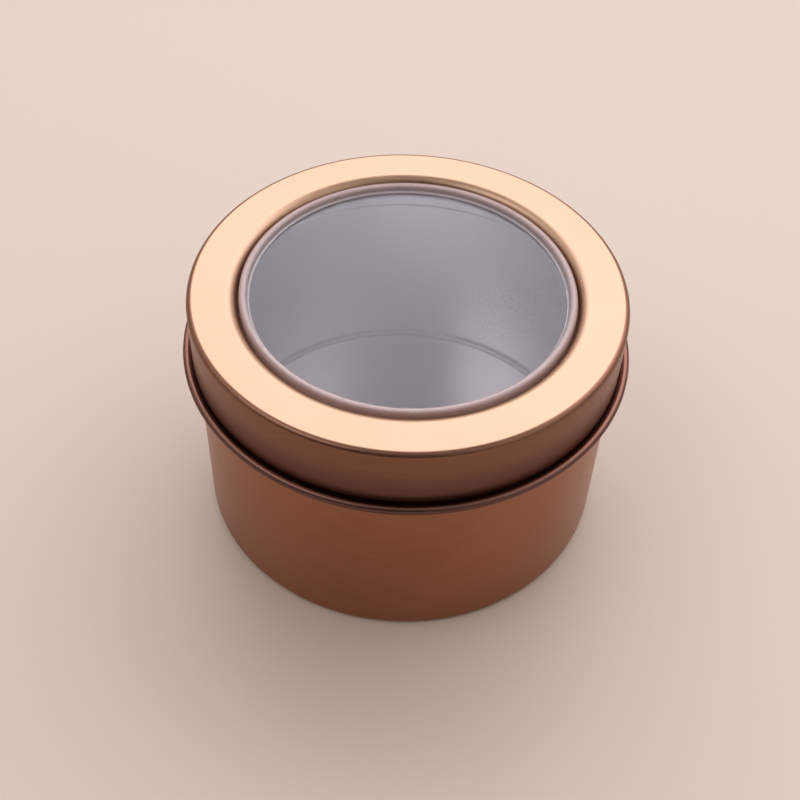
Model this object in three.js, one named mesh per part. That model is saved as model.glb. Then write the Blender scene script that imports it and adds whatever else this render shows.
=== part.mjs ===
// Round window tin: a drawn tinplate cup, a slip-on lid ring and a clear window snapped into the lid.
// Millimetres, +Z up. The origin is the middle of the base, on the surface that the tin stands on.
// Every piece is a sheet turned round the Z axis, so each one is drawn as the section of its sheet.

import * as THREE from 'three';

// Sheet thicknesses
const TINPLATE = 0.25;
const FILM = 0.4;

// Tin: wall, base and bead
const TIN_RADIUS = 38.6; // outside of the wall, and of the neck in line with it above the bead
const BASE_BEND = 1.2; // outside radius where the base turns up into the wall
const BEAD_HEIGHT = 36.9; // middle of the bead above the base
const BEAD_REACH = 2.4; // how far the bead stands out from the wall
const BEAD_NOSE = 0.8; // outside radius of the bead's round nose
const BEAD_SLIT = 0.3; // slit that the fold leaves open on the inside

// Tin: rim
const RIM_ROLL = 0.8; // outside radius of the inward roll at the rim
const RIM_ROLL_SWEEP = 290; // degrees of arc in the roll, so that its raw edge is tucked in

// Lid ring
const LID_HEIGHT = 11.8; // from the skirt's lower edge to the flat top
const LID_BEND = 1.1; // outside radius between the top and the skirt
const HEM_HEIGHT = 2.2; // folded-in lower edge of the skirt
const RING_WIDTH = 6.85; // from the skirt's outside to where the top turns down into the opening
const LIP_ROLL = 2; // outside radius of the roll round the opening
const LIP_ROLL_SWEEP = 260; // degrees of arc in the roll, from the flat top round to its raw edge

// Window
const GROOVE_WIDTH = 0.3; // clear width between the ridge's side and the rolled edge
const RIDGE_DROP = 0.15; // the ridge's crest, down from the lid's flat top
const RIDGE_ROUND = 0.75; // outside radius of the ridge's crest
const RIDGE_WALL = 0.1; // straight run of the ridge's inner wall
const PANEL_BEND = 0.4; // inside radius where that wall meets the panel

// Clearances
const SLIP_FIT = 0.2; // lid hem round the neck
const SEAT_GAP = 0.45; // lid hem over the bead's root
const HEADROOM = 0.95; // rim of the neck under the lid's top
const SNAP_FIT = 0.15; // window film round the rolled edge and under the lid's top

// Facets: one count round the axis for all pieces, so that their flats lie parallel
const FACETS = 52;
const ARC_STEP = 30; // degrees between points on a bend

// Heights and radii that follow from the sizes above
const tinInside = TIN_RADIUS - TINPLATE;
const beadNoseCentre = TIN_RADIUS + BEAD_REACH - BEAD_NOSE;
const beadLedge = BEAD_HEIGHT + BEAD_SLIT / 2 + TINPLATE;
const lidRadius = TIN_RADIUS + SLIP_FIT + 2 * TINPLATE;
const lidEdge = beadLedge + SEAT_GAP;
const lidTop = lidEdge + LID_HEIGHT;
const rimTop = lidTop - TINPLATE - HEADROOM;
const mouthRadius = lidRadius - RING_WIDTH;
const lipRollHeight = lidTop - LIP_ROLL;
const channelRound = LIP_ROLL + SNAP_FIT;
const ridgeRadius = mouthRadius - LIP_ROLL - GROOVE_WIDTH - RIDGE_ROUND;
const ridgeHeight = lidTop - RIDGE_DROP - RIDGE_ROUND;

const copperGold = { color: 0xd9a070, roughness: 0.36, metalness: 1.0 };
const clearFilm = { color: 0xf0ecee, roughness: 0.08, metalness: 0.0, transparent: true, opacity: 0.28 };

// Point of a section: distance from the axis, height above the base.
function at(radius, height) {
  return new THREE.Vector2(radius, height);
}

// Points on an arc round a centre, angles in degrees from the outward direction, both ends included.
function arc(centreRadius, centreHeight, bend, fromAngle, toAngle) {
  const steps = Math.max(1, Math.round(Math.abs(toAngle - fromAngle) / ARC_STEP));
  const points = [];
  for (let i = 0; i <= steps; i += 1) {
    const angle = THREE.MathUtils.degToRad(fromAngle + ((toAngle - fromAngle) * i) / steps);
    points.push(at(centreRadius + bend * Math.cos(angle), centreHeight + bend * Math.sin(angle)));
  }
  return points;
}

// Angle, in degrees, at which the straight flank that leaves a point touches a circle on its upper side:
// the direction from the circle's centre to where the flank meets it.
function touchAngle(point, centreRadius, centreHeight, bend) {
  const across = point.x - centreRadius;
  const up = point.y - centreHeight;
  const towards = THREE.MathUtils.radToDeg(Math.atan2(up, across));
  const opening = THREE.MathUtils.radToDeg(Math.acos(bend / Math.hypot(across, up)));
  return towards - opening;
}

// A section turned once round the Z axis. It runs counter-clockwise, outside first.
function turned(name, section, finish) {
  const geometry = new THREE.LatheGeometry(section, FACETS);
  geometry.rotateX(Math.PI / 2);
  const mesh = new THREE.Mesh(geometry, new THREE.MeshStandardMaterial(finish));
  mesh.name = name;
  return mesh;
}

// The cup: base, wall, folded bead, neck and rolled rim, then back down the inside of the same sheet.
function tinBody() {
  const lowerRoot = BEAD_HEIGHT - BEAD_SLIT / 2 - TINPLATE;
  const noseTouch = touchAngle(at(TIN_RADIUS, beadLedge), beadNoseCentre, BEAD_HEIGHT, BEAD_NOSE);
  const innerNose = BEAD_NOSE - TINPLATE;
  const rollCentre = TIN_RADIUS - RIM_ROLL;
  const rollHeight = rimTop - RIM_ROLL;
  const innerBend = BASE_BEND - TINPLATE;
  return turned('tin_body', [
    at(0, 0),
    ...arc(TIN_RADIUS - BASE_BEND, BASE_BEND, BASE_BEND, -90, 0),
    at(TIN_RADIUS, lowerRoot),
    ...arc(beadNoseCentre, BEAD_HEIGHT, BEAD_NOSE, -noseTouch, 0),
    ...arc(beadNoseCentre, BEAD_HEIGHT, BEAD_NOSE, 0, noseTouch).slice(1),
    at(TIN_RADIUS, beadLedge),
    ...arc(rollCentre, rollHeight, RIM_ROLL, 0, RIM_ROLL_SWEEP),
    ...arc(rollCentre, rollHeight, RIM_ROLL - TINPLATE, RIM_ROLL_SWEEP, 0),
    at(tinInside, beadLedge - TINPLATE),
    ...arc(beadNoseCentre, BEAD_HEIGHT, innerNose, noseTouch, 0),
    ...arc(beadNoseCentre, BEAD_HEIGHT, innerNose, 0, -noseTouch).slice(1),
    at(tinInside, lowerRoot + TINPLATE),
    ...arc(TIN_RADIUS - BASE_BEND, BASE_BEND, innerBend, 0, -90),
    at(0, TINPLATE),
  ], copperGold);
}

// The lid ring: hemmed skirt, flat top and the edge of the opening rolled under.
function lidRing() {
  const hemFold = lidRadius - TINPLATE;
  const hemInside = lidRadius - 2 * TINPLATE;
  const rollEnd = 90 + LIP_ROLL_SWEEP;
  const section = [
    ...arc(hemFold, lidEdge + TINPLATE, TINPLATE, -180, 0),
    ...arc(lidRadius - LID_BEND, lidTop - LID_BEND, LID_BEND, 0, 90),
    ...arc(mouthRadius, lipRollHeight, LIP_ROLL, 90, rollEnd),
    ...arc(mouthRadius, lipRollHeight, LIP_ROLL - TINPLATE, rollEnd, 90),
    ...arc(lidRadius - LID_BEND, lidTop - LID_BEND, LID_BEND - TINPLATE, 90, 0),
    at(hemFold, lidEdge + HEM_HEIGHT),
    at(hemInside, lidEdge + HEM_HEIGHT),
  ];
  section.push(section[0].clone());
  return turned('lid_ring', section, copperGold);
}

// The window: panel, ridge, and the channel that hugs the rolled edge from below and hooks over it outside.
function windowDisc() {
  const across = mouthRadius - ridgeRadius;
  const drop = lipRollHeight - ridgeHeight;
  const spread = Math.acos((RIDGE_ROUND + channelRound) / Math.hypot(across, drop));
  const slope = THREE.MathUtils.radToDeg(Math.atan2(drop, across) + spread);
  const hookRise = LIP_ROLL - TINPLATE - SNAP_FIT;
  const hookInside = 360 + THREE.MathUtils.radToDeg(Math.asin(hookRise / channelRound));
  const hookOutside = 360 + THREE.MathUtils.radToDeg(Math.asin(hookRise / (channelRound + FILM)));
  const panelCentre = ridgeRadius - RIDGE_ROUND - PANEL_BEND;
  const panelBendHeight = ridgeHeight - RIDGE_WALL;
  const panelTop = panelBendHeight - PANEL_BEND;
  return turned('window_disc', [
    at(0, panelTop - FILM),
    ...arc(panelCentre, panelBendHeight, PANEL_BEND + FILM, -90, 0),
    ...arc(ridgeRadius, ridgeHeight, RIDGE_ROUND - FILM, 180, slope),
    ...arc(mouthRadius, lipRollHeight, channelRound + FILM, slope + 180, hookOutside),
    ...arc(mouthRadius, lipRollHeight, channelRound, hookInside, slope + 180),
    ...arc(ridgeRadius, ridgeHeight, RIDGE_ROUND, slope, 180),
    ...arc(panelCentre, panelBendHeight, PANEL_BEND, 0, -90),
    at(0, panelTop),
  ], clearFilm);
}

const windowTin = new THREE.Group();
const lid = new THREE.Group();
lid.add(lidRing(), windowDisc());
windowTin.add(tinBody(), lid);

export default windowTin;
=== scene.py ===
# %% [markdown]
# # A round tin with a window in its lid
#
# The real tin is three pressed pieces: a drawn cup of tinplate, a lid ring that slips over the cup's neck,
# and a clear disc of formed film that snaps into the ring. All three are thin sheets, turned round one
# axis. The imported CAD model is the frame. It fixes where each piece is. Sizes of the pieces are in
# millimetres, and MM turns them into Blender's metres.

# %% Load the frame
import math
import bpy
from mathutils import Matrix, Vector


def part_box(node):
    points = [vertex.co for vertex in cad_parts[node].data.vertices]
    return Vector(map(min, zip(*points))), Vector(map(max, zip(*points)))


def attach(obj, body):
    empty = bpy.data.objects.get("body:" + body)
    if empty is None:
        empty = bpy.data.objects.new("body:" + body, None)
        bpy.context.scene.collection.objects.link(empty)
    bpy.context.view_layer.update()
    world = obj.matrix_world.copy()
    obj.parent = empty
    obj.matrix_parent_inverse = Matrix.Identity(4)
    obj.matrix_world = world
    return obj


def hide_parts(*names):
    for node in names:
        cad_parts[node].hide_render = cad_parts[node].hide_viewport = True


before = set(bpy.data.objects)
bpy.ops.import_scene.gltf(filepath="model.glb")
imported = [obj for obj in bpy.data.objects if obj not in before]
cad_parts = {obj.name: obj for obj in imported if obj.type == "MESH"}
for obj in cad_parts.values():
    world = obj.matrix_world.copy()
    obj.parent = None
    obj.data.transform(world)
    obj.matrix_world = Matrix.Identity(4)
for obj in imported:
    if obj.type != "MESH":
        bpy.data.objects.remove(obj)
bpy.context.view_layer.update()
MM = 0.001

# %% [markdown]
# ## Reading the main radii and heights
#
# A part could be modelled by eye, but then it would drift from the solids that the physics uses. Each
# node's box gives the outermost radius and the top and bottom of its piece, so those are read. Finer sizes,
# such as bends and clearances, are typed here, because a box can't give them.

# %% Radii and heights of the tin and the lid
_, tin_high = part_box("tin_body")
lid_low, lid_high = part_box("lid_ring")

BEAD_CREST = tin_high.x / MM
RIM_TOP = tin_high.z / MM
LID_RADIUS = lid_high.x / MM
LID_EDGE = lid_low.z / MM
LID_TOP = lid_high.z / MM
print(f"bead out to {BEAD_CREST:.2f} mm, rim at {RIM_TOP:.2f} mm")
print(f"lid out to {LID_RADIUS:.2f} mm, from {LID_EDGE:.2f} up to {LID_TOP:.2f} mm")

# %% [markdown]
# ## A sheet as a string round pins
#
# Sheet metal bends round the rolls and dies of the press, and runs straight between them. So the section
# of a sheet is drawn as a string wound round pins. A pin has a place and a bend radius: a positive bend
# turns the sheet to the left, a negative one to the right. The string leaves each pin on the tangent to
# the next, so all joins are smooth, which corner points with a bevel would only come near to. The line
# that results is the face that is lacquered on the metal pieces. The sheet lies on the left of its travel.

# %% Directions of the straight runs
def straight_runs(pins):
    """Heading, in radians, of each straight run from one pin to the next."""
    runs = []
    for (r0, z0, bend0), (r1, z1, bend1) in zip(pins, pins[1:]):
        across, up = r1 - r0, z1 - z0
        lean = math.asin((bend0 - bend1) / math.hypot(across, up))
        runs.append(math.atan2(up, across) + lean)
    return runs


# %% Points round one pin
BEND_STEP = math.radians(9)


def round_pin(pin, arrive, leave):
    """Points (radius, height, heading) where the sheet bends round a pin."""
    r, z, bend = pin
    turn = (leave - arrive) % math.tau
    if bend < 0:
        turn -= math.tau
    if bend == 0:
        arrive, turn = leave, 0.0
    steps = math.ceil(abs(turn) / BEND_STEP)
    points = []
    for k in range(steps + 1):
        heading = arrive + turn * k / max(steps, 1)
        points.append((r + bend * math.sin(heading), z - bend * math.cos(heading), heading))
    return points


# %% [markdown]
# ## Rings along the straight runs
#
# Smooth shading blends the normals of neighbouring faces. Next to a bend, that would tilt the shading of a
# whole flat. A ring close to each end of a straight run keeps the blend inside a sliver that nobody sees,
# and a few more rings keep the faces of a long run from becoming slivers themselves.

# %% Points along a straight run
RING_GUARD = 0.07
RING_SPACING = 7.0
SHORTEST_RUN = 4 * RING_GUARD  # a shorter run gets no rings of its own


def along_run(start, end):
    """Extra points between the end of one bend and the start of the next."""
    (r0, z0, heading), (r1, z1, _) = start, end
    length = math.hypot(r1 - r0, z1 - z0)
    if length < SHORTEST_RUN:
        return []
    guard = RING_GUARD / length
    count = max(1, round(length / RING_SPACING))
    shares = [guard] + [k / count for k in range(1, count)] + [1 - guard]
    return [(r0 + (r1 - r0) * s, z0 + (z1 - z0) * s, heading) for s in shares]


# %% The whole string
def wind(pins, first_heading=None, last_heading=None):
    """The drawn face of a section: points (radius, height, heading) from the first pin to the last."""
    runs = straight_runs(pins)
    arrivals = [runs[0] if first_heading is None else first_heading] + runs
    departures = runs + [runs[-1] if last_heading is None else last_heading]
    line = []
    for pin, arrive, leave in zip(pins, arrivals, departures):
        bend = round_pin(pin, arrive, leave)
        if line:
            line += along_run((*line[-1][:2], arrive), bend[0])
        line += bend
    return line


# %% [markdown]
# ## Turning a section into a mesh
#
# Blender's Screw modifier could spin the line, but it would not know which face is lacquered. Here the
# mesh is made directly: the drawn face first, then the other face one sheet thickness to its left, and the
# raw edges between them. Each face of the mesh takes the finish of the side that it is on.

# %% The closed section of a sheet
LACQUERED, BARE = 0, 1


def closed_section(line, thickness):
    """Points of both sides in one loop, and the finish of the strip that starts at each point."""
    drawn = [(r, z) for r, z, _ in line]
    other = [(r - thickness * math.sin(h), z + thickness * math.cos(h)) for r, z, h in line]
    loop = drawn + other[::-1]
    finish = [LACQUERED] * (len(drawn) - 1) + [BARE] * (len(other) + 1)
    return loop, finish


# %% Faces between two rings of points
def strip(here, there):
    """Faces between two rings of vertex numbers; a ring of one vertex is the middle of a disc."""
    count = max(len(here), len(there))
    faces = []
    for j in range(count):
        k = (j + 1) % count
        if len(here) == 1:
            faces.append((here[0], there[k], there[j]))
        elif len(there) == 1:
            faces.append((here[j], here[k], there[0]))
        else:
            faces.append((here[j], here[k], there[k], there[j]))
    return faces


# %% The turned sheet
TURN_FACETS = 240
AXIS_REACH = 1e-6
SHARP_ANGLE = math.radians(50)


def turned_sheet(name, line, thickness):
    """A mesh object of one sheet turned round the Z axis; each face is numbered for its finish."""
    loop, finish = closed_section(line, thickness)
    points, rings = [], []
    for r, z in loop:
        turns = 1 if r < AXIS_REACH else TURN_FACETS
        rings.append(range(len(points), len(points) + turns))
        for j in range(turns):
            angle = math.tau * j / TURN_FACETS
            points.append((r * math.cos(angle) * MM, r * math.sin(angle) * MM, z * MM))
    faces, finishes = [], []
    for k, side in enumerate(finish):
        here, there = rings[k], rings[(k + 1) % len(rings)]
        if len(here) + len(there) > 2:
            new = strip(here, there)
            faces += new
            finishes += [side] * len(new)
    mesh = bpy.data.meshes.new(name)
    mesh.from_pydata(points, [], faces)
    mesh.polygons.foreach_set("material_index", finishes)
    mesh.shade_smooth()
    mesh.set_sharp_from_angle(angle=SHARP_ANGLE)
    piece = bpy.data.objects.new(name, mesh)
    bpy.context.scene.collection.objects.link(piece)
    print(f"{name}: {len(line)} points in the section, {len(faces)} faces")
    return piece


# %% [markdown]
# ## The drawn cup
#
# The cup starts as a flat disc. A punch draws it into a wall, a roller folds the wall outward into a bead
# for the lid to sit over, and the rim is curled inward so that no raw edge is left to cut a finger. The
# bead is a real fold, narrow at its root and round at its nose, because its shadow line is what tells the
# eye that this is folded sheet and not a glued-on ring.

# %% Pins of the cup
TINPLATE = 0.23  # a little thinner than in the solids
TIN_RADIUS = 38.6
BASE_BEND = 1.2
BEAD_HEIGHT = 36.9
BEAD_NOSE = 0.8
ROOT_BEND = 0.06
ROOT_HALF = 0.26  # half the height of the bead at its root: two sheets and a hair's gap
RIM_ROLL = 0.8
RIM_SWEEP = math.radians(290)
UPRIGHT = math.radians(90)

root_reach = TIN_RADIUS + ROOT_BEND
root_lift = ROOT_HALF + ROOT_BEND
cup_pins = [
    (0.0, 0.0, 0.0),
    (TIN_RADIUS - BASE_BEND, BASE_BEND, BASE_BEND),
    (root_reach, BEAD_HEIGHT - root_lift, -ROOT_BEND),
    (BEAD_CREST - BEAD_NOSE, BEAD_HEIGHT, BEAD_NOSE),
    (root_reach, BEAD_HEIGHT + root_lift, -ROOT_BEND),
    (TIN_RADIUS - RIM_ROLL, RIM_TOP - RIM_ROLL, RIM_ROLL),
]
cup = turned_sheet("drawn_cup", wind(cup_pins, last_heading=UPRIGHT + RIM_SWEEP), TINPLATE)

# %% [markdown]
# ## The lid ring
#
# The ring is drawn from one sheet too. Its lower edge is folded back inside the skirt as a hem, so the
# edge that slides on the neck is round. The edge of the opening is curled under by a little more than two
# thirds of a turn. That curl is the part of this tin that takes the most skill to press: it is what the
# film snaps on to, and it draws the dark line round the window.

# %% Pins of the lid ring
HEM_HEIGHT = 2.2
HEM_FOLD = 0.25
LID_BEND = 1.1
RING_WIDTH = 6.85
LIP_ROLL = 2.0
LIP_SWEEP = math.radians(260)
INWARD = math.radians(180)

mouth_radius = LID_RADIUS - RING_WIDTH
lip_height = LID_TOP - LIP_ROLL
ring_pins = [
    (LID_RADIUS - 2 * HEM_FOLD, LID_EDGE + HEM_HEIGHT, 0.0),
    (LID_RADIUS - HEM_FOLD, LID_EDGE + HEM_FOLD, HEM_FOLD),
    (LID_RADIUS - LID_BEND, LID_TOP - LID_BEND, LID_BEND),
    (mouth_radius, lip_height, LIP_ROLL),
]
ring = turned_sheet("lid_ring_sheet", wind(ring_pins, last_heading=INWARD + LIP_SWEEP), TINPLATE)

# %% [markdown]
# ## The snap-in window
#
# The film is formed over a warm mould: a flat panel, a raised round ridge at its edge, then a channel that
# passes under the curled lip and hooks up behind it. It is drawn from the hook inward, so that its upper
# face is the drawn one. Film is the same on both sides, so it needs one finish only.

# %% Pins of the window
FILM = 0.4
SNAP_GAP = 0.15
RIDGE_DROP = 0.15
RIDGE_ROUND = 0.75
GROOVE_WIDTH = 0.3
RIDGE_WALL = 0.1
PANEL_BEND = 0.4
HOOK_HEADING = math.radians(-51)  # direction of the film where its hook starts

channel_bend = LIP_ROLL + SNAP_GAP
ridge_radius = mouth_radius - LIP_ROLL - GROOVE_WIDTH - RIDGE_ROUND
ridge_height = LID_TOP - RIDGE_DROP - RIDGE_ROUND
panel_edge = ridge_radius - RIDGE_ROUND - PANEL_BEND
panel_top = ridge_height - RIDGE_WALL - PANEL_BEND
window_pins = [
    (mouth_radius, lip_height, -channel_bend),
    (ridge_radius, ridge_height, RIDGE_ROUND),
    (panel_edge, panel_top + PANEL_BEND, -PANEL_BEND),
    (0.0, panel_top, 0.0),
]
window = turned_sheet("window_film", wind(window_pins, first_heading=HOOK_HEADING), FILM)

# %% [markdown]
# ## A short way to write nodes
#
# The finishes are node materials. Written out in full, each would be buried under its own wiring. A few
# small helpers keep them readable: they add a node and wire its inputs, do a sum, carry a value from one
# span to another, mix two colours, or start a new finish.

# %% Nodes and sums
def set_inputs(tree, node, inputs):
    """Gives a node's sockets their values, or the outputs that feed them."""
    for socket, value in inputs.items():
        if isinstance(value, bpy.types.NodeSocket):
            tree.links.new(value, node.inputs[socket])
        else:
            node.inputs[socket].default_value = value


def add_node(tree, kind, inputs=None, **settings):
    """A new node with its settings and inputs."""
    made = tree.nodes.new(kind)
    for name, value in settings.items():
        setattr(made, name, value)
    set_inputs(tree, made, inputs or {})
    return made


def sums(tree, operation, *terms):
    """The result of one Math node."""
    return add_node(tree, "ShaderNodeMath", dict(enumerate(terms)), operation=operation).outputs[0]


def add_shares(tree, first, first_share, second, second_share):
    """Two values added, each times its share."""
    first_part = sums(tree, "MULTIPLY", first, first_share)
    return sums(tree, "ADD", first_part, sums(tree, "MULTIPLY", second, second_share))


# %% Vectors
LEVEL = (1.0, 1.0, 0.0)


def vectors(tree, operation, *terms):
    """The vector that one Vector Math node gives."""
    made = add_node(tree, "ShaderNodeVectorMath", dict(enumerate(terms)), operation=operation)
    return made.outputs["Vector"]


def measure(tree, operation, *terms):
    """The number that one Vector Math node gives, such as a length."""
    made = add_node(tree, "ShaderNodeVectorMath", dict(enumerate(terms)), operation=operation)
    return made.outputs["Value"]


def scaled(tree, vector, factor):
    """A vector times one number."""
    inputs = {0: vector, "Scale": factor}
    return add_node(tree, "ShaderNodeVectorMath", inputs, operation="SCALE").outputs["Vector"]


# %% Spans
WHOLE = (0.0, 1.0)


def past(edge, span):
    """A span that is counted from an edge."""
    return edge + span[0], edge + span[1]


def spread(tree, value, span, to_span):
    """Maps a value smoothly from one span to another and keeps it inside."""
    ends = {"From Min": span[0], "From Max": span[1], "To Min": to_span[0], "To Max": to_span[1]}
    made = add_node(tree, "ShaderNodeMapRange", {"Value": value, **ends}, interpolation_type="SMOOTHSTEP")
    return made.outputs["Result"]


def rise(tree, value, span):
    """0 below a span and 1 above it, with a smooth step between."""
    return spread(tree, value, span, (0.0, 1.0))


def fall(tree, value, span):
    """1 below a span and 0 above it, with a smooth step between."""
    return spread(tree, value, span, (1.0, 0.0))


# %% Colours and new finishes
# The Mix node has a set of sockets for each kind of data. These are the ones for colours.
MIX_SHARE, MIX_START, MIX_END = 0, 6, 7
MIX_RESULT = 2


def blend(tree, share, start, end):
    """A colour between two colours."""
    inputs = {MIX_SHARE: share, MIX_START: start, MIX_END: end}
    return add_node(tree, "ShaderNodeMix", inputs, data_type="RGBA").outputs[MIX_RESULT]


def new_finish(name):
    """A new material, with its node tree and its Principled shader."""
    finish = bpy.data.materials.new(name)
    finish.use_nodes = True
    return finish, finish.node_tree, finish.node_tree.nodes["Principled BSDF"]


# %% [markdown]
# ## Where a point lay on the flat blank
#
# The sheet was brushed and lacquered flat, in one direction, before it was pressed. So the grain does not
# run round the wall like a lathe mark. It crosses the lid's top in straight lines, and the press carries
# it over the bend and down the skirt. To get that, each point is unrolled: its distance from the axis
# becomes the length of sheet between it and the middle of the blank. The grain is then drawn on the
# unrolled sheet.

# %% Unrolled place on the blank
AXIS_GUARD = 0.01  # mm, keeps the division safe on the axis


def on_the_blank(tree, flat_height):
    """Place on the blank, distance from the axis, depth off the flat, and x, y and z apart, all in mm."""
    place = scaled(tree, add_node(tree, "ShaderNodeTexCoord").outputs["Object"], 1 / MM)
    parts = add_node(tree, "ShaderNodeSeparateXYZ", {0: place}).outputs
    level = vectors(tree, "MULTIPLY", place, LEVEL)
    reach = measure(tree, "LENGTH", level)
    drawn_down = sums(tree, "ABSOLUTE", sums(tree, "SUBTRACT", parts["Z"], flat_height))
    sheet_length = sums(tree, "ADD", reach, drawn_down)
    stretch = sums(tree, "DIVIDE", sheet_length, sums(tree, "MAXIMUM", reach, AXIS_GUARD))
    return scaled(tree, level, stretch), reach, drawn_down, parts


# %% Marks and clouds on the blank
MARK_RAGGED = 0.6  # how ragged the noise of a mark is, from 0 to 1


def brush_marks(tree, blank, along, across, detail):
    """Noise drawn out along the brushing direction: marks of a length and a width, in mm."""
    drawn_out = vectors(tree, "MULTIPLY", blank, (1 / along, 1 / across, 1.0))
    inputs = {"Vector": drawn_out, "Scale": 1.0, "Detail": detail, "Roughness": MARK_RAGGED}
    return add_node(tree, "ShaderNodeTexNoise", inputs, noise_dimensions="2D").outputs["Fac"]


def soft_clouds(tree, blank, per_mm, detail):
    """Broad soft noise with no direction."""
    inputs = {"Vector": blank, "Scale": per_mm, "Detail": detail}
    return add_node(tree, "ShaderNodeTexNoise", inputs).outputs["Fac"]


# %% [markdown]
# ## Copper-gold lacquer over brushed tinplate
#
# A clear tinted lacquer lies over the brushed sheet. The colour is that of metal seen through the tint, so
# it is a metal shader with a thin clear coat. Fine hairlines and wider, fainter streaks shift colour and
# roughness a little, and they also give the bump. Brushed metal spreads its shine across the marks, so the
# shader is anisotropic and its direction follows the grain round the tin.
#
# The wall and the skirt take darker copies of the flats' tints. This is painted shade for the dark floor
# and room that they mirror, and it is darkest on the skirt. Darker still is painted shade at the bead and
# up the skirt from its hem, where the gap between the skirt and the bead lies in shade. There most of the
# coat is taken off, so that its shine does not lift the painted shade.

# %% Direction of the grain round the axis
QUARTER_TURN = 0.25


def grain_turn(tree, parts, side):
    """Turn, in whole turns, from the direction round the axis to the brushing direction."""
    angle = sums(tree, "ARCTAN2", parts["Y"], parts["X"])
    quarter_on = sums(tree, "ADD", sums(tree, "DIVIDE", angle, math.tau), QUARTER_TURN)
    return sums(tree, "MULTIPLY", quarter_on, side)


# %% The lacquer's marks and tone
HAIRLINE = (14.0, 0.11, 3.0)  # length and width in mm, detail of the noise
STREAK = (40.0, 0.7, 2.0)
HAIRLINE_SHARE, STREAK_SHARE = 0.55, 0.45
LACQUER_CLOUD = (0.045, 2.0)  # clouds per mm, detail of the noise
LACQUER_CLOUD_SHARE = 0.35
LACQUER_TONE = (0.4, 0.95)


def lacquer_marks(tree, blank):
    """Hairlines and streaks together, and the tone, from deep to pale, that they and the clouds give."""
    hairlines = brush_marks(tree, blank, *HAIRLINE)
    streaks = brush_marks(tree, blank, *STREAK)
    marks = add_shares(tree, hairlines, HAIRLINE_SHARE, streaks, STREAK_SHARE)
    clouds = sums(tree, "MULTIPLY", soft_clouds(tree, blank, *LACQUER_CLOUD), LACQUER_CLOUD_SHARE)
    return marks, rise(tree, sums(tree, "ADD", marks, clouds), LACQUER_TONE)


# %% Where the painted shade goes
EDGE_SPAN = (0.05, 0.3)  # mm past the flat's edge
DRAWN_SPAN = (0.4, 1.8)  # mm drawn down from the flat
SHADE_CORE = 0.35  # share of the reach that has the full painted shade
SHADE_FULL = 0.85  # share of the painted shade's tint laid on there


def off_the_flat(tree, reach, drawn_down, flat_radius):
    """0 on the flat, 1 on the wall or the skirt, where their painted shade goes."""
    over_edge = rise(tree, reach, past(flat_radius, EDGE_SPAN))
    return sums(tree, "MAXIMUM", over_edge, rise(tree, drawn_down, DRAWN_SPAN))


def painted_fold_shade(tree, parts, fold_height, shade_reach):
    """Share of painted shade: full at the fold, 0 out of its reach."""
    off_fold = sums(tree, "ABSOLUTE", sums(tree, "SUBTRACT", parts["Z"], fold_height))
    return spread(tree, off_fold, (SHADE_CORE * shade_reach, shade_reach), (SHADE_FULL, 0.0))


# %% The lacquer's tints
FLAT_DEEP = (0.424, 0.264, 0.170, 1.0)
FLAT_PALE = (0.482, 0.306, 0.199, 1.0)
# Painted shade: darker copies of the flats' tints for the wall and the skirt, which mirror the dark floor
# and room.
WALL_SHADED_DEEP = (0.318, 0.132, 0.072, 1.0)
WALL_SHADED_PALE = (0.378, 0.162, 0.090, 1.0)
SKIRT_SHADED_DEEP = (0.214, 0.098, 0.060, 1.0)
SKIRT_SHADED_PALE = (0.254, 0.121, 0.076, 1.0)
# Painted shade: the bead, and the skirt up from its hem, are darkened where the gap between them lies in
# shade.
BEAD_SHADE_TINT = (0.100, 0.056, 0.057, 1.0)
HEM_SHADE_TINT = (0.148, 0.073, 0.060, 1.0)
EDGE_GOLD = (0.90, 0.82, 0.76, 1.0)  # tint of the shine at a low angle

# %% The lacquer's shine
MARK_SPAN = (0.3, 0.7)
LACQUER_ROUGH = (0.28, 0.38)
BUMP_STRENGTH = 0.4
BUMP_DEPTH = 0.02 * MM
GRAIN_STRENGTH = 0.45
COAT_WEIGHT = (0.15, 0.02)  # out of a fold, in a fold
COAT_ROUGH = 0.12
COAT_IOR = 1.5


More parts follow.
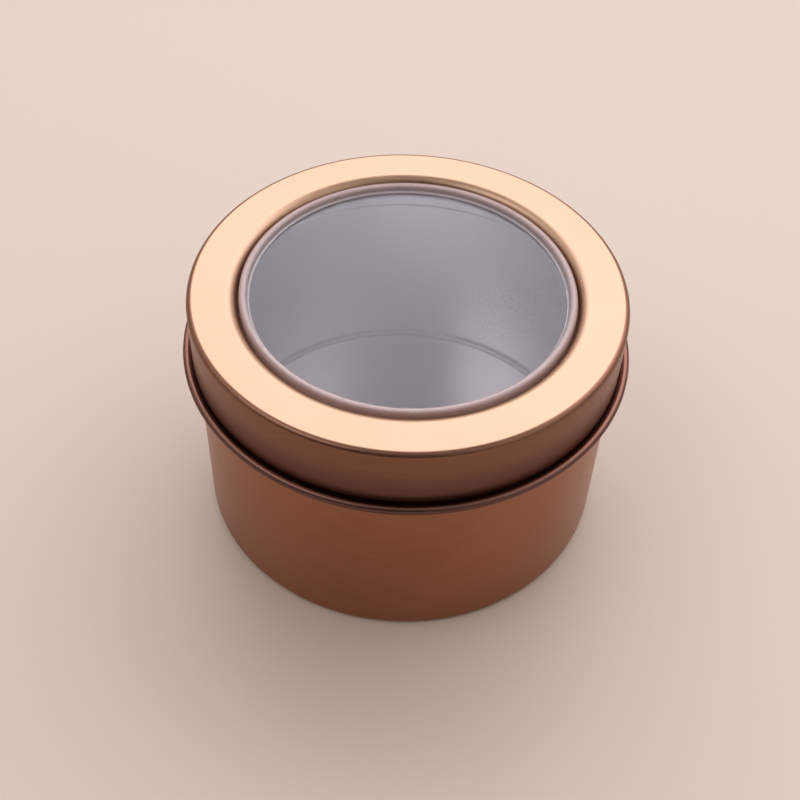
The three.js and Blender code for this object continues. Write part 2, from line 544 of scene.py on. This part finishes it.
# %% The lacquer's nodes
def copper_gold_lacquer(name, flat_height, flat_radius, side, tints, fold_height, shade_reach):
    """Lacquered face of one pressed piece."""
    shaded_deep, shaded_pale, fold_shade = tints
    finish, tree, shader = new_finish(name)
    blank, reach, drawn_down, parts = on_the_blank(tree, flat_height)
    marks, tone = lacquer_marks(tree, blank)
    flat_gold = blend(tree, tone, FLAT_DEEP, FLAT_PALE)
    # The wall and the skirt take the darker tints: painted shade.
    shaded_gold = blend(tree, tone, shaded_deep, shaded_pale)
    gold = blend(tree, off_the_flat(tree, reach, drawn_down, flat_radius), flat_gold, shaded_gold)
    # Painted shade round the fold. The coat is mostly taken off there too, so that its shine does not lift
    # the shade.
    shade_share = painted_fold_shade(tree, parts, fold_height, shade_reach)
    relief = {"Height": marks, "Strength": BUMP_STRENGTH, "Distance": BUMP_DEPTH}
    around = add_node(tree, "ShaderNodeTangent", direction_type="RADIAL", axis="Z")
    set_inputs(tree, shader, {
        "Base Color": blend(tree, shade_share, gold, fold_shade),
        "Roughness": spread(tree, marks, MARK_SPAN, LACQUER_ROUGH),
        "Normal": add_node(tree, "ShaderNodeBump", relief).outputs["Normal"],
        "Tangent": around.outputs["Tangent"],
        "Anisotropic": GRAIN_STRENGTH,
        "Anisotropic Rotation": grain_turn(tree, parts, side),
        "Metallic": 1.0,
        "Specular Tint": EDGE_GOLD,
        "Coat Weight": spread(tree, shade_share, (0.0, SHADE_FULL), COAT_WEIGHT),
        "Coat Roughness": COAT_ROUGH,
        "Coat IOR": COAT_IOR,
    })
    print(f"{name}: {len(tree.nodes)} nodes")
    return finish


# %% Lacquer on the cup and on the ring
FACES_DOWN, FACES_UP = 1.0, -1.0
# Reach of the painted shade round the bead and up from the hem.
BEAD_SHADE_REACH = 1.3  # mm above and below the bead's middle
HEM_SHADE_REACH = 8.0  # mm up from the skirt's edge

base_radius = TIN_RADIUS - BASE_BEND
top_radius = LID_RADIUS - LID_BEND
lacquer_cup = copper_gold_lacquer(
    "copper_gold_cup",
    flat_height=0.0,
    flat_radius=base_radius,
    side=FACES_DOWN,
    tints=(WALL_SHADED_DEEP, WALL_SHADED_PALE, BEAD_SHADE_TINT),
    fold_height=BEAD_HEIGHT,
    shade_reach=BEAD_SHADE_REACH,
)
lacquer_ring = copper_gold_lacquer(
    "copper_gold_ring",
    flat_height=LID_TOP,
    flat_radius=top_radius,
    side=FACES_UP,
    tints=(SKIRT_SHADED_DEEP, SKIRT_SHADED_PALE, HEM_SHADE_TINT),
    fold_height=LID_EDGE,
    shade_reach=HEM_SHADE_REACH,
)

# %% [markdown]
# ## Bare tinplate inside
#
# The inside is not lacquered. It is rolled tin: a cool, soft, silvery grey with a satin shine. Broad, faint
# rolling marks and a slight cloudiness come from the same unrolled sheet, with gentler contrast than
# outside. The bend between floor and wall takes a darker tint, which is painted shade in that inside
# corner. That soft dark line is what lets the eye find the floor through the window.

# %% The bare side's tints and marks
TIN_DEEP = (0.478, 0.456, 0.462, 1.0)
TIN_PALE = (0.528, 0.503, 0.510, 1.0)
# Painted shade for the inside corner between floor and wall.
TIN_CORNER_SHADE = (0.16, 0.145, 0.152, 1.0)
ROLLING = (60.0, 9.0, 1.0)  # length and width in mm, detail of the noise
TIN_CLOUD = (0.05, 1.0)  # clouds per mm, detail of the noise
ROLLING_SHARE, TIN_CLOUD_SHARE = 0.4, 0.6
TIN_ROUGH = (0.279, 0.300)
BEND_SPAN = (-0.5, 0.3)  # mm past the flat's edge, where the painted corner shade starts
WALL_SPAN = (0.5, 1.5)  # mm drawn off the flat, where the painted corner shade ends


# %% The bare side's nodes
def bare_tinplate(name, flat_height, flat_radius):
    """Unlacquered face of one pressed piece."""
    finish, tree, shader = new_finish(name)
    blank, reach, drawn_down, _ = on_the_blank(tree, flat_height)
    rolling = brush_marks(tree, blank, *ROLLING)
    clouds = soft_clouds(tree, blank, *TIN_CLOUD)
    tone = add_shares(tree, rolling, ROLLING_SHARE, clouds, TIN_CLOUD_SHARE)
    grey = blend(tree, rise(tree, tone, MARK_SPAN), TIN_DEEP, TIN_PALE)
    # Painted shade in the inside corner between floor and wall.
    into_bend = rise(tree, reach, past(flat_radius, BEND_SPAN))
    corner_shade = sums(tree, "MULTIPLY", into_bend, fall(tree, drawn_down, WALL_SPAN))
    set_inputs(tree, shader, {
        "Base Color": blend(tree, corner_shade, grey, TIN_CORNER_SHADE),
        "Roughness": spread(tree, tone, MARK_SPAN, TIN_ROUGH),
        "Metallic": 1.0,
    })
    print(f"{name}: {len(tree.nodes)} nodes")
    return finish


bare_cup = bare_tinplate("bare_tinplate_cup", 0.0, base_radius)
bare_ring = bare_tinplate("bare_tinplate_ring", LID_TOP, top_radius)

# %% [markdown]
# ## Clear formed film
#
# The window is glass-clear film. A transparent shader alone would lose the bright lines that its ridge and
# channel draw, so it is real refraction, on a sheet with a real thickness. The panel is as clear as the
# film came. Over the ridge and the channel the mould stretches the film, which makes it hazy and less
# clear. Its tint there is partly that haze and partly a painted reflection of the copper lip that it lies
# against: a pink cast on the crest, and copper outside it.

# %% The film's tints and spans
FILM_CLEAR = (0.985, 0.980, 0.985, 1.0)
FILM_FOOT = (0.62, 0.56, 0.57, 1.0)
# The crest's pink cast is a painted reflection of the copper lip over the film's haze. Past the crest, the
# tint is all painted reflection of the lip.
FILM_CREST_HAZE_AND_REFLECTION = (0.70, 0.56, 0.535, 1.0)
FILM_LIP_REFLECTION = (0.62, 0.45, 0.40, 1.0)
FILM_GLOSS = (1.0, 0.945, 0.98, 1.0)  # tint of what the film mirrors
FILM_IOR = 1.41
FILM_ROUGH = (0.01, 0.2)  # clear panel, stretched ridge
FILM_PASSES = (1.0, 0.55)  # share of light let through, in the same order
STRETCH_SPAN = (-0.05, 0.35)  # mm past the panel's edge
RIDGE_SPAN = (0.3, 0.6)  # mm past the panel's edge
LIP_SPAN = (0.1, 0.7)  # mm past the ridge's crest, where the painted reflection of the lip comes in

# %% The film's nodes
clear_film, tree, shader = new_finish("clear_formed_film")
place = add_node(tree, "ShaderNodeTexCoord").outputs["Object"]
reach = measure(tree, "LENGTH", vectors(tree, "MULTIPLY", place, (1 / MM, 1 / MM, 0.0)))
stretched = rise(tree, reach, past(panel_edge, STRETCH_SPAN))
up_ridge = rise(tree, reach, past(panel_edge, RIDGE_SPAN))
# Painted reflection of the copper lip on the ridge and in the channel.
lip_reflection = rise(tree, reach, past(ridge_radius, LIP_SPAN))
ridge_haze_and_reflection = blend(tree, lip_reflection, blend(tree, up_ridge, FILM_FOOT, FILM_CREST_HAZE_AND_REFLECTION), FILM_LIP_REFLECTION)
set_inputs(tree, shader, {
    "Base Color": blend(tree, stretched, FILM_CLEAR, ridge_haze_and_reflection),
    "Roughness": spread(tree, stretched, WHOLE, FILM_ROUGH),
    "Transmission Weight": spread(tree, stretched, WHOLE, FILM_PASSES),
    "Specular Tint": FILM_GLOSS,
    "IOR": FILM_IOR,
})
print(f"film: clear to {panel_edge:.2f} mm from the axis, ridge at {ridge_radius:.2f} mm")

# %% [markdown]
# ## Light that only passes the film
#
# Film this thin hardly shifts what lies behind it. Light on its way to the inside could be traced through
# both faces, but that only adds noise. So rays that have already met a surface, and rays that look for a
# lamp, go straight through the panel with a slight tint. What the eye sees directly is still refracted and
# mirrored. A ray mirrored inside the film has come a very short way, and that tells it from one that comes
# from afar.

# %% Light straight through the film
FILM_TINT = (0.97, 0.965, 0.97, 1.0)
SHORT_WAY = 3 * FILM * MM

path = add_node(tree, "ShaderNodeLightPath").outputs
mirrored = sums(tree, "SUBTRACT", path["Is Glossy Ray"], path["Is Transmission Ray"])
from_afar = sums(tree, "GREATER_THAN", path["Ray Length"], SHORT_WAY)
onward = sums(tree, "MULTIPLY", sums(tree, "MAXIMUM", path["Is Diffuse Ray"], mirrored), from_afar)
past_panel = sums(tree, "MULTIPLY", onward, sums(tree, "SUBTRACT", 1.0, stretched))
unbent = sums(tree, "MAXIMUM", path["Is Shadow Ray"], past_panel)
straight = add_node(tree, "ShaderNodeBsdfTransparent", {"Color": FILM_TINT}).outputs["BSDF"]
film = add_node(tree, "ShaderNodeMixShader", {0: unbent, 1: shader.outputs["BSDF"], 2: straight})
tree.links.new(film.outputs["Shader"], tree.nodes["Material Output"].inputs["Surface"])
print("clear film:", len(tree.nodes), "nodes")

# %% [markdown]
# ## Dressing the frame
#
# Each sheet takes the place of its CAD node, which stays behind it for collision, and rides on that node's
# body. The window is fixed in the ring, so both move with the lid.

# %% Finishes and bodies
for piece, finishes, node, body, slot in (
    (cup, (lacquer_cup, bare_cup), "tin_body", "tin", "copper_gold_tinplate"),
    (ring, (lacquer_ring, bare_ring), "lid_ring", "lid", "copper_gold_tinplate"),
    (window, (clear_film, clear_film), "window_disc", "lid", "clear_film"),
):
    for one in finishes:
        piece.data.materials.append(one)
    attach(piece, body)
    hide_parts(node)
    print(piece.name, "rides on", body, "and stands for", node)

# %% [markdown]
# ## Floor
#
# Polished metal shows what is round it, so the floor is part of the finish: the front of the wall mirrors
# the floor and the tin's own shadow on it. It is one large pale sheet, a hair below the base so that the
# two don't lie in one plane.

# %% Pale floor
FLOOR_REACH = 12.0
FLOOR_DROP = 0.05 * MM
FLOOR_PALE = (0.68, 0.548, 0.445, 1.0)
FLOOR_ROUGH = 0.42

square = ((-1, -1), (1, -1), (1, 1), (-1, 1))
corners = [(x * FLOOR_REACH, y * FLOOR_REACH, -FLOOR_DROP) for x, y in square]
floor_mesh = bpy.data.meshes.new("pale_floor")
floor_mesh.from_pydata(corners, [], [(0, 1, 2, 3)])
floor = bpy.data.objects.new("pale_floor", floor_mesh)
bpy.context.scene.collection.objects.link(floor)
paper, tree, shader = new_finish("pale_paper")
set_inputs(tree, shader, {"Base Color": FLOOR_PALE, "Roughness": FLOOR_ROUGH})
floor_mesh.materials.append(paper)
print("floor", 2 * FLOOR_REACH, "m across")

# %% [markdown]
# ## Soft light from behind
#
# The lid's top is bright and the wall is dark, so the light is broad and comes from behind the tin, as
# from a large window. A lamp panel would show a hard edge in the metal. A sky that fades from a bright
# side to a dim side has no edge, and with a pale band along the horizon it also serves as the backdrop in
# other views. The room in it is dim in front of the tin, bright at the sides, softer overhead, and dim low
# down except under the window. A second, weaker window high on the left leaves a soft patch of light on
# the floor of the tin.

# %% Bearing and height of a direction
WINDOW_BEARING = math.radians(18)
SIDE_BEARING = math.radians(-115)

sky = bpy.data.worlds.new("soft_window_light")
sky.use_nodes = True
tree = sky.node_tree
towards = add_node(tree, "ShaderNodeTexCoord").outputs["Generated"]
height = add_node(tree, "ShaderNodeSeparateXYZ", {0: towards}).outputs["Z"]
level = vectors(tree, "NORMALIZE", vectors(tree, "MULTIPLY", towards, LEVEL))


def facing_bearing(bearing):
    """How squarely a direction faces a bearing: 1 is straight at it, -1 straight away."""
    goal = (math.sin(bearing), math.cos(bearing), 0.0)
    return measure(tree, "DOT_PRODUCT", level, goal)


facing = facing_bearing(WINDOW_BEARING)
facing_side = facing_bearing(SIDE_BEARING)

# %% The room round the tin
# Height is the sine of the elevation. Facing runs from -1, away from the window, to 1, straight at it.
ROOM_FRONT = (0.11, 0.10, 0.095, 1.0)
ROOM_SIDES = (1.02, 0.99, 0.98, 1.0)
ROOM_CEILING = (0.50, 0.485, 0.485, 1.0)
ROOM_LOW = (0.16, 0.145, 0.135, 1.0)
BELOW_WINDOW = (0.90, 0.82, 0.80, 1.0)
FRONT_TO_SIDES = (-0.95, -0.2)
LOW_TO_WINDOW = (0.3, 0.85)
CEILING_SPAN = (0.80, 0.97)
LOW_SPAN = (0.15, 0.42)

room = blend(tree, rise(tree, facing, FRONT_TO_SIDES), ROOM_FRONT, ROOM_SIDES)
room = blend(tree, rise(tree, height, CEILING_SPAN), room, ROOM_CEILING)
low_room = blend(tree, rise(tree, facing, LOW_TO_WINDOW), ROOM_LOW, BELOW_WINDOW)
room = blend(tree, rise(tree, height, LOW_SPAN), low_room, room)


# %% A window with soft edges
def soft_window(towards_it, sill, head, jambs):
    """1 in the pane and 0 outside it. Each side is the span over which that edge fades."""
    band = sums(tree, "MULTIPLY", rise(tree, height, sill), fall(tree, height, head))
    return sums(tree, "MULTIPLY", band, rise(tree, towards_it, jambs))


# %% The window behind the tin, the one at its side, and the horizon
WINDOW = (3.05, 2.98, 3.25, 1.0)
SIDE_WINDOW = (2.1, 2.06, 2.2, 1.0)
HORIZON = (0.90, 0.79, 0.70, 1.0)
HORIZON_SPAN = (0.05, 0.13)

pane = soft_window(facing, sill=(0.375, 0.56), head=(0.79, 0.914), jambs=(0.2, 0.95))
side_pane = soft_window(facing_side, sill=(0.58, 0.72), head=(0.86, 0.95), jambs=(0.75, 0.98))
light = blend(tree, pane, room, WINDOW)
light = blend(tree, side_pane, light, SIDE_WINDOW)
light = blend(tree, fall(tree, height, HORIZON_SPAN), light, HORIZON)
tree.links.new(light, tree.nodes["Background"].inputs["Color"])
bpy.context.scene.world = sky
print("sky:", len(tree.nodes), "nodes, window", WINDOW[:3], "ceiling", ROOM_CEILING[:3])

# %% [markdown]
# ## Camera
#
# The camera stands in front of the tin and looks down at about 48 degrees, close enough for the ellipses
# of the lid and the base to differ in shape. Its place and turn were fitted to those ellipses, and the
# picture is square, so a 55 mm lens on a 36 mm sensor sees it whole.

# %% Camera place and turn
CAMERA_PLACE = Vector((0.0, -160.91, 196.07)) * MM
CAMERA_YAW = math.radians(-0.275)
CAMERA_PITCH = math.radians(47.672)
CAMERA_ROLL = math.radians(2.218)

ahead = Vector((
    math.sin(CAMERA_YAW) * math.cos(CAMERA_PITCH),
    math.cos(CAMERA_YAW) * math.cos(CAMERA_PITCH),
    -math.sin(CAMERA_PITCH),
))
right = ahead.cross(Vector((0, 0, 1))).normalized()
up = right.cross(ahead)
tilted_right = math.cos(CAMERA_ROLL) * right + math.sin(CAMERA_ROLL) * up
tilted_up = math.cos(CAMERA_ROLL) * up - math.sin(CAMERA_ROLL) * right

# %% Camera object
SENSOR = 36.0
LENS = 54.94
NEAREST = 0.01
FARTHEST = 40.0

lens = bpy.data.cameras.new("photo_camera")
lens.sensor_width = SENSOR
lens.lens = LENS
lens.clip_start = NEAREST
lens.clip_end = FARTHEST
camera = bpy.data.objects.new("photo_camera", lens)
turn = Matrix((tilted_right, tilted_up, -ahead)).transposed().to_4x4()
camera.matrix_world = Matrix.Translation(CAMERA_PLACE) @ turn
bpy.context.scene.collection.objects.link(camera)
bpy.context.scene.camera = camera
bpy.context.scene.view_settings.view_transform = "Standard"
print("camera at", [round(v, 4) for v in camera.location])

# %% Update the view layer
bpy.context.view_layer.update()
